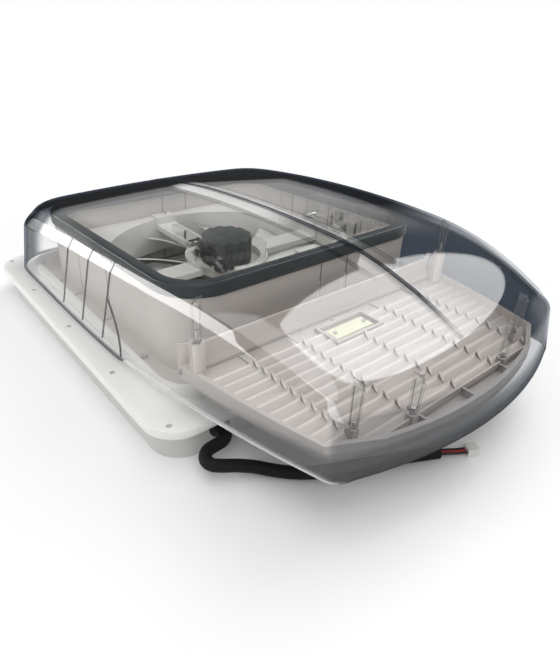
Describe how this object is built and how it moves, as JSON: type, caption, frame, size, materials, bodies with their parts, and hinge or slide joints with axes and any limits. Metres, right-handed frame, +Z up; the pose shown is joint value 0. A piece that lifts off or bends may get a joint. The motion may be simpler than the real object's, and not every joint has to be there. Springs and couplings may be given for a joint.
{
  "type": "powered roof vent",
  "caption": "Powered camper roof vent: white roof flange and ceiling trim, duct box with fan, and a long smoked clear rain lid over a louvre plate.",
  "frame": {"origin": "centre of the whole vent's box at the lower edge of the ceiling trim", "axes": "+X to the right seen from the nose, +Y to the hinge at the rear, +Z up; the lid's nose is at -Y"},
  "size_m": [0.42, 0.572, 0.1521],
  "materials": {
    "white_plastic": "satin moulded",
    "black_rubber": "matte",
    "steel": "plated",
    "mesh": "woven",
    "keypad_film": "film",
    "board_green": "satin",
    "warm_grey_plastic": "fine moulded texture",
    "light_grey_plastic": "fine moulded texture",
    "motor_metal": "satin",
    "slate_plastic": "satin",
    "smoked_clear": "polished, smoked tint",
    "louvre_plastic": "fine moulded texture",
    "sensor_board": "satin",
    "sleeve_black": "braided",
    "wire_red": "satin",
    "connector_plastic": "satin"
  },
  "bodies": {
    "base": {"roof_flange": "white_plastic", "roof_gasket": "black_rubber", "ceiling_trim": "white_plastic", "trim_screws": "steel", "screen_frame": "white_plastic", "screen_mesh": "mesh", "keypad": "keypad_film", "circuit_board": "board_green", "duct_box": "warm_grey_plastic", "box_screws": "steel", "rim_seal": "black_rubber", "fan_shroud": "light_grey_plastic", "motor_spider": "light_grey_plastic", "spider_screws": "steel", "fan_motor": "motor_metal", "motor_cap": "slate_plastic", "lift_gearbox": "light_grey_plastic", "shaft_bearings": "light_grey_plastic", "hinge_brackets": "warm_grey_plastic", "hinge_pins": "steel", "cable_grommet": "black_rubber", "harness_sleeve": "sleeve_black", "harness_wires": "wire_red", "harness_connector": "connector_plastic"},
    "lid": {"lid_knuckles": "smoked_clear", "lid_shell": "smoked_clear", "lid_posts": "smoked_clear", "post_screws": "steel", "track_left": "smoked_clear", "track_right": "smoked_clear", "louvre_plate": "louvre_plastic", "rain_sensor": "sensor_board", "sensor_screws": "steel"},
    "lift": {"lift_shaft": "steel", "lift_arm_left": "light_grey_plastic", "lift_arm_right": "light_grey_plastic", "arm_pins": "steel"},
    "fan": {"fan_shaft": "steel", "fan_rotor": "light_grey_plastic", "fan_nut": "steel"},
    "screen_button_front": {"screen_button_front": "white_plastic"},
    "screen_button_rear": {"screen_button_rear": "white_plastic"},
    "screen_button_left": {"screen_button_left": "white_plastic"},
    "screen_button_right": {"screen_button_right": "white_plastic"}
  },
  "joints": [
    {"name": "lid_hinge", "type": "hinge", "parent": "base", "child": "lid", "pos_m": [0, 0.248, 0.062], "axis": [-1, 0, 0], "range_deg": [0, 12]},
    {"name": "lift_turn", "type": "hinge", "parent": "base", "child": "lift", "pos_m": [0, -0.052, 0.11], "axis": [1, 0, 0], "range_deg": [0, 54]},
    {"name": "fan_spin", "type": "hinge", "parent": "base", "child": "fan", "pos_m": [0, 0.076, 0.05], "axis": [0, 0, 1], "continuous": true},
    {"name": "button_turn_front", "type": "hinge", "parent": "base", "child": "screen_button_front", "pos_m": [0, -0.083, 0.002], "axis": [0, 0, 1], "range_deg": [0, 90]},
    {"name": "button_turn_right", "type": "hinge", "parent": "base", "child": "screen_button_right", "pos_m": [0.159, 0.076, 0.002], "axis": [0, 0, 1], "range_deg": [0, 90]},
    {"name": "button_turn_rear", "type": "hinge", "parent": "base", "child": "screen_button_rear", "pos_m": [0, 0.235, 0.002], "axis": [0, 0, 1], "range_deg": [0, 90]},
    {"name": "button_turn_left", "type": "hinge", "parent": "base", "child": "screen_button_left", "pos_m": [-0.159, 0.076, 0.002], "axis": [0, 0, 1], "range_deg": [0, 90]}
  ],
  "couplings": [
    {"joint": "lift_turn", "follows": "lid_hinge", "ratio": 4.5}
  ]
}
